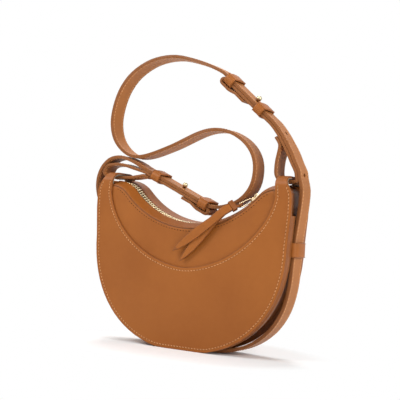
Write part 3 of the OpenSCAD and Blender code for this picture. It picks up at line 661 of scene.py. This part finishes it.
def bent_band(node):
    """Pulls the outer corners of a keeper in, as leather bent round a strap has them."""
    bm = solid_of(node)
    broad = max((f for f in bm.faces if abs(f.normal.y) < SIDEWAYS), key=lambda f: f.calc_area())
    axes = (Vector((0, 1, 0)), Vector((broad.normal.x, 0, broad.normal.z)).normalized())
    spans = [[v.co.dot(axis) for v in bm.verts] for axis in axes]
    bm.free()
    middle = [(max(span) + min(span)) / 2 for span in spans]
    half = [(max(span) - min(span)) / 2 for span in spans]

    def shape(co):
        u, v = ((co.dot(axis) - m) / h for axis, m, h in zip(axes, middle, half))
        most = max(abs(u), abs(v), WELD)
        reach = (abs(u) ** BAND_POWER + abs(v) ** BAND_POWER) ** (1 / BAND_POWER)
        pull = (1 - most / max(reach, WELD)) * soft_step(most, BAND_CORE_SHARE, 1)
        return (axes[0] * u * half[0] + axes[1] * v * half[1]) * -pull
    return shape


# Stitching

def face_runs(node, side):
    """Runs of points round the foremost (-1) or hindmost (1) flat, material on the left."""
    bm = solid_of(node)
    level = (max if side > 0 else min)(v.co.y for v in bm.verts)
    following = {}
    for edge in corners_of(bm):
        if all(abs(v.co.y - level) < WELD for v in edge.verts):
            for loop in edge.link_loops:
                if abs(loop.face.normal.y) > FACING:
                    following[loop.vert.index] = loop.link_loop_next.vert.index
    bm.verts.ensure_lookup_table()
    runs = []
    while following:
        starts = set(following) - set(following.values()) or set(following)
        at = min(starts)
        run = [at]
        while at in following:
            at = following.pop(at)
            run.append(at)
        runs.append([bm.verts[i].co.copy() for i in run])
    bm.free()
    return runs


def offset_run(run, normal, inset):
    """The run moved into the material by an inset."""
    closed = (run[0] - run[-1]).length < WELD
    last = len(run) - 1
    places = []
    for i, co in enumerate(run):
        before = run[i - 1] if i else run[-2 if closed else 0]
        after = run[i + 1] if i < last else run[1 if closed else last]
        places.append(co + normal.cross((after - before).normalized()) * inset)
    return places


def even_places(places, pitch):
    """Middles of stitches at an even pitch along a run, each with its direction."""
    made = []
    left = pitch / 2
    for a, b in zip(places, places[1:]):
        length = (b - a).length
        while left <= length:
            made.append((a.lerp(b, left / length), (b - a).normalized()))
            left += pitch
        left -= length
    return made


def sew(name, stitches, finish="thread", wide=1.0, long=0.72):
    """Thread with a stitch at each (place, direction, outward), in widths and pitches."""
    look = bpy.context.scene.handbag_thread
    one = bmesh.new()
    bmesh.ops.create_uvsphere(one, u_segments=6, v_segments=4, radius=0.5)
    template = bpy.data.meshes.new("one_stitch")
    one.to_mesh(template)
    one.free()
    slant = Matrix.Rotation(STITCH_SLANT, 4, "X")
    width = look.width * wide
    scale = Matrix.Diagonal((width * STITCH_DEPTH_SHARE, width, look.pitch * long, 1))
    bm = bmesh.new()
    for co, ahead, outward in stitches:
        side = outward.cross(ahead).normalized()
        turn = Matrix((outward, side, ahead)).transposed().to_4x4()
        first = len(bm.verts)
        bm.from_mesh(template)
        bm.verts.ensure_lookup_table()
        bmesh.ops.transform(bm, verts=bm.verts[first:],
                            matrix=Matrix.Translation(co) @ turn @ slant @ scale)
    bpy.data.meshes.remove(template)
    put(bm, name, finish, "bag")


def seam(name, stitches):
    """A row of stitches of the bag, each with a small dark dot sunk at its end that paints the
    shade inside the needle holes.
    """
    half = bpy.context.scene.handbag_thread.pitch / 2
    sew(name + "_thread", stitches)
    # Painted shade: dark dots sunk at the needle holes
    holes = [(co + ahead * half - outward * HOLE_SINK, ahead, outward)
             for co, ahead, outward in stitches]
    sew(name + "_holes", holes, "hole", wide=1.1, long=0.3)


def flat_stitches(node, side, inset, shape):
    """Stitches on the front (-1) or back (1) of a node, a constant way in from its edges."""
    normal = Vector((0, side, 0))
    pitch = bpy.context.scene.handbag_thread.pitch
    return [(co + shape(co), ahead, normal) for run in face_runs(node, side)
            for co, ahead in even_places(offset_run(run, normal, inset), pitch)]


def strap_stitches(node):
    """Stitches on both broad faces of a strap, along both of its edges."""
    pitch = bpy.context.scene.handbag_thread.pitch
    made = []
    for run in face_runs(node, -1):
        for co, ahead in even_places(run, pitch):
            outward = Vector((0, 1, 0)).cross(ahead)
            for y in (STRAP_FRONT_Y + STRAP_INSET, STRAP_BACK_Y - STRAP_INSET):
                made.append((Vector((co.x, y, co.z)) + strap_ease(co), ahead, outward))
    return made


def beside_zip(co):
    return abs(co.x) < UPPER_REACH and zip_height(co.x) - co.z < UPPER_DROP


# Stage

def lay_floor(look):
    """A wide floor that takes the bag's shadow and is white to the camera further out."""
    bm = bmesh.new()
    bmesh.ops.create_grid(bm, x_segments=8, y_segments=8, size=look.floor / 2)
    mesh = bpy.data.meshes.new("floor")
    bm.to_mesh(mesh)
    bm.free()
    floor = bpy.data.objects.new("floor", mesh)
    bpy.context.scene.collection.objects.link(floor)
    sheet = Sheet("white_floor")
    x, y = (sheet.part(sheet.place(), axis) for axis in "XY")
    away = (x * x * OVAL_SHARE + y * y).step(*OVAL_SQUARES)
    matt = sheet.add("ShaderNodeBsdfDiffuse", None, Color=FLOOR_GREY)
    white = sheet.add("ShaderNodeEmission", None, Color=WHITE, Strength=1.0)
    mixed = sheet.add("ShaderNodeMixShader", None,
                      sheet.seen() * (look.glow + (1 - look.glow) * away), matt, white)
    sheet.add("ShaderNodeOutputMaterial", None, mixed)
    mesh.materials.append(sheet.owner)


def light_world(look):
    """White to the camera and to metal, and a weak light from all round to the rest."""
    sheet = Sheet("studio", "worlds")
    light = sheet.add("ShaderNodeBackground", None, Color=WHITE, Strength=look.ambient)
    white = sheet.add("ShaderNodeBackground", None, Color=WHITE, Strength=1.0)
    mixed = sheet.add("ShaderNodeMixShader", None, sheet.seen(), light, white)
    sheet.add("ShaderNodeOutputWorld", None, mixed)
    bpy.context.scene.world = sheet.owner


def hang_lamps(look):
    """Large soft lamps that point at the middle of the bag."""
    for name, (place, size, share) in LAMPS.items():
        lamp = bpy.data.lights.new(name, "AREA")
        lamp.size = size
        lamp.energy = look.key * share
        holder = bpy.data.objects.new(name, lamp)
        holder.location = place
        holder.rotation_mode = "QUATERNION"
        holder.rotation_quaternion = (BAG_MIDDLE - Vector(place)).to_track_quat("-Z", "Y")
        bpy.context.scene.collection.objects.link(holder)


def set_camera(look):
    right = Vector(CAMERA_RIGHT).normalized()
    back = right.cross(Vector(CAMERA_UP)).normalized()
    turn = Matrix((right, back.cross(right), back)).transposed().to_4x4()
    lens = bpy.data.cameras.new("camera")
    lens.lens = look.lens
    lens.sensor_width = FILM_WIDTH
    lens.clip_start = NEAREST
    camera = bpy.data.objects.new("camera", lens)
    camera.matrix_world = Matrix.Translation(CAMERA_PLACE) @ turn
    bpy.context.scene.collection.objects.link(camera)
    bpy.context.scene.camera = camera


# Operators

class HANDBAG_OT_panels(bpy.types.Operator):
    """Front, back and gusset leather with eased edges and a little fullness"""
    bl_idname = "handbag.panels"
    bl_label = "Body leather"

    def execute(self, context):
        grid = ((X, PANEL_CELL), (Z, PANEL_CELL))
        dress("front_crescent_panel", "leather", PANEL_EASE, 3, grid, front_ease)
        dress("front_upper_panel", "leather", SEAM_EASE, 2, grid, swell_out)
        dress("back_panel", "leather", PANEL_EASE, 3, grid, swell_out)
        dress("gusset", "leather", SEAM_EASE, 2, ((Z, GUSSET_CELL),))
        for side in SIDES:
            dress("ear_lining_" + side, "suede", SUEDE_EASE, 2, ((Z, EAR_CELL),), ear_ease)
        return {"FINISHED"}


class HANDBAG_OT_inside(bpy.types.Operator):
    """Lining and stiffening boards between the leather panels"""
    bl_idname = "handbag.inside"
    bl_label = "Inside"

    def execute(self, context):
        dress("lining", "cloth", LINING_EASE, 1)
        for place in ("front", "back", "gusset"):
            dress(place + "_stiffener", "board", BOARD_EASE, 1)
        return {"FINISHED"}


class HANDBAG_OT_zip(bpy.types.Operator):
    """Leather strips, woven tape, teeth, stops and slider of the zip"""
    bl_idname = "handbag.zip"
    bl_label = "Zip"

    def execute(self, context):
        cells = ((X, PANEL_CELL), (Y, STRIP_CELL))
        for place in ("front", "back"):
            dress("zip_strip_" + place, "leather", STRIP_EASE, 2, cells)
            dress("zip_tape_" + place, "cloth", TAPE_EASE, 1)
            dress("zip_teeth_" + place, "gold", TOOTH_EASE, shape=proud_teeth)
        for side in SIDES:
            dress("zip_stop_" + side, "gold", TOOTH_EASE)
        dress("zip_slider", "gold", SLIDER_EASE)
        return {"FINISHED"}


class HANDBAG_OT_pull(bpy.types.Operator):
    """Ring, link, forked leather tail and its small keeper, which close the zip"""
    bl_idname = "handbag.pull"
    bl_label = "Zip pull"

    def execute(self, context):
        for node in ("pull_ring", "pull_link"):
            dress(node, "gold", 0)
        cells = ((X, TAIL_CELL), (Z, TAIL_CELL))
        dress("pull_strip", "leather", TAIL_EASE, 2, cells, tail_ease)
        dress("pull_keeper", "leather", TAIL_KEEPER_EASE)
        return {"FINISHED"}


class HANDBAG_OT_straps(bpy.types.Operator):
    """The long strap and the two loop straps"""
    bl_idname = "handbag.straps"
    bl_label = "Straps"

    def execute(self, context):
        for node in STRAPS:
            dress(node, "strap", STRAP_EASE, 3, ((Y, STRAP_CELL),), strap_ease)
        return {"FINISHED"}


class HANDBAG_OT_keepers(bpy.types.Operator):
    """Closed leather bands that hold the straps together"""
    bl_idname = "handbag.keepers"
    bl_label = "Keepers"

    def execute(self, context):
        cells = [(axis, KEEPER_CELL) for axis in (X, Y, Z)]
        for place in ("end_keeper", "sliding_keeper", "gusset_keeper"):
            for side in SIDES:
                node = f"{place}_{side}"
                dress(node, "leather", KEEPER_EASE, 3, cells, bent_band(node))
        return {"FINISHED"}


class HANDBAG_OT_studs(bpy.types.Operator):
    """Ball studs and the screws behind them"""
    bl_idname = "handbag.studs"
    bl_label = "Studs"

    def execute(self, context):
        for side in SIDES:
            dress("stud_" + side, "stud", 0)
            dress("stud_screw_" + side, "gold", SCREW_EASE)
        return {"FINISHED"}


class HANDBAG_OT_stitching(bpy.types.Operator):
    """Thread along the seams of the body and the edges of the straps"""
    bl_idname = "handbag.stitching"
    bl_label = "Stitching"

    def execute(self, context):
        seam("crescent", flat_stitches("front_crescent_panel", -1, SEAM_INSET, front_ease))
        seam("back", flat_stitches("back_panel", 1, SEAM_INSET, swell_out))
        upper = [stitch for stitch in flat_stitches("front_upper_panel", -1, UPPER_INSET, swell_out)
                 if beside_zip(stitch[0])]
        # Dark thread beside the zip, in the same dark colour as the painted shade of the needle
        # holes
        sew("upper_edge_thread", upper, "hole", wide=1.1, long=0.5)
        for node in STRAPS:
            sew(node + "_thread", strap_stitches(node))
        return {"FINISHED"}


class HANDBAG_OT_stage(bpy.types.Operator):
    """Pale floor, soft lamps and the camera"""
    bl_idname = "handbag.stage"
    bl_label = "Stage"

    def execute(self, context):
        look = context.scene.handbag_stage
        for make in (lay_floor, light_world, hang_lamps, set_camera):
            make(look)
        context.scene.view_settings.view_transform = "Standard"
        return {"FINISHED"}


class HANDBAG_PT_sidebar(bpy.types.Panel):
    """Lists the settings of the handbag and the buttons that make its pieces"""
    bl_idname = "HANDBAG_PT_sidebar"
    bl_label = "Saddle handbag"
    bl_space_type = "VIEW_3D"
    bl_region_type = "UI"
    bl_category = "Handbag"

    def draw(self, context):
        for title, holder in SETTINGS.items():
            group = getattr(context.scene, holder)
            box = self.layout.box()
            box.label(text=title)
            for key in group.__annotations__:
                box.prop(group, key)
        for operator in OPERATORS:
            self.layout.operator(operator.bl_idname)


SETTINGS = {"Leather": "handbag_leather", "Thread": "handbag_thread",
            "Hardware": "handbag_hardware", "Stage": "handbag_stage"}
GROUPS = (LeatherSettings, ThreadSettings, HardwareSettings, StageSettings)
OPERATORS = (HANDBAG_OT_stage, HANDBAG_OT_panels, HANDBAG_OT_inside, HANDBAG_OT_zip,
             HANDBAG_OT_pull, HANDBAG_OT_straps, HANDBAG_OT_keepers, HANDBAG_OT_studs,
             HANDBAG_OT_stitching)


def register():
    for group in GROUPS + OPERATORS + (HANDBAG_PT_sidebar,):
        bpy.utils.register_class(group)
    for holder, group in zip(SETTINGS.values(), GROUPS):
        setattr(bpy.types.Scene, holder, bpy.props.PointerProperty(type=group))


def unregister():
    for holder in SETTINGS.values():
        delattr(bpy.types.Scene, holder)
    for group in (HANDBAG_PT_sidebar,) + OPERATORS[::-1] + GROUPS[::-1]:
        bpy.utils.unregister_class(group)


def main():
    register()
    for operator in OPERATORS:
        group, name = operator.bl_idname.split(".")
        getattr(getattr(bpy.ops, group), name)()
    bpy.context.view_layer.update()


if __name__ == "__main__":
    main()
